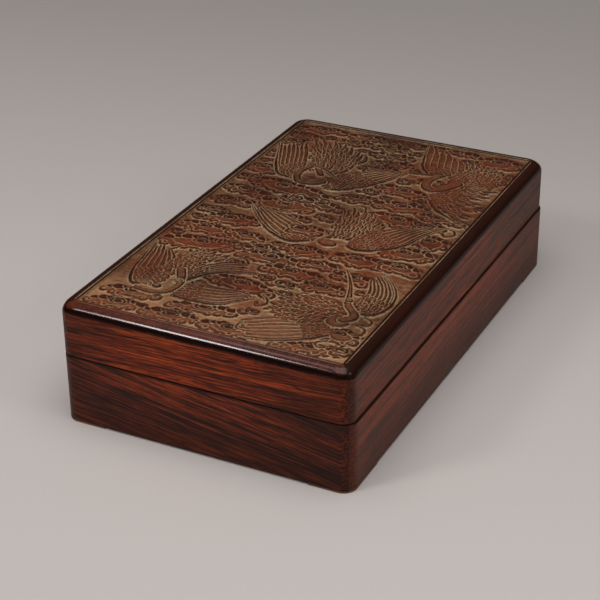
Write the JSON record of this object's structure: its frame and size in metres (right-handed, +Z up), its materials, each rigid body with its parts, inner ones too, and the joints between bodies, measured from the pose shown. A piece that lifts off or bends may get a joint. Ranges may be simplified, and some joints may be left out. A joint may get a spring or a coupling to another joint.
{
  "type": "ink stick and stone box",
  "caption": "Rectangular hardwood box with a relief-carved lift-off lid, low corner feet, a bedded well for an ink stone and a lift-out tray for ink sticks.",
  "frame": {"origin": "middle of the footprint, on the surface that the feet stand on", "axes": "+Z up, +Y along the length towards the back, +X across the width towards the right"},
  "size_m": [0.175, 0.296, 0.0732],
  "materials": {
    "base_boards": "satin lacquer over dark streaked hardwood",
    "lid_boards": "satin lacquer over red-brown streaked hardwood",
    "carved_top": "waxed low-relief carving with pale dust in the cuts",
    "lining": "oiled hardwood",
    "bottom_panel": "planed, unlacquered wood",
    "stone_bed": "planed, oiled wood",
    "tray": "planed, oiled wood"
  },
  "bodies": {
    "base": {"base_front_board": "base_boards", "base_back_board": "base_boards", "base_left_board": "base_boards", "base_right_board": "base_boards", "base_bottom_panel": "bottom_panel", "lining_front": "lining", "lining_back": "lining", "lining_left": "lining", "lining_right": "lining", "stone_bed": "stone_bed", "well_divider": "lining", "tray_ledge_left": "lining", "tray_ledge_right": "lining"},
    "ink_tray": {"tray_bottom": "tray", "tray_front": "tray", "tray_back": "tray", "tray_left": "tray", "tray_right": "tray", "tray_rib_front": "tray", "tray_rib_back": "tray"},
    "lid": {"lid_front_board": "lid_boards", "lid_back_board": "lid_boards", "lid_left_board": "lid_boards", "lid_right_board": "lid_boards", "lid_carved_top": "carved_top"}
  },
  "joints": [
    {"name": "lid_lift", "type": "slide", "parent": "base", "child": "lid", "axis": [0, 0, 1], "range_m": [0, 0.09]},
    {"name": "ink_tray_lift", "type": "slide", "parent": "base", "child": "ink_tray", "axis": [0, 0, 1], "range_m": [0, 0.045]}
  ],
  "couplings": [
    {"joint": "ink_tray_lift", "follows": "lid_lift", "ratio": 0.5}
  ]
}
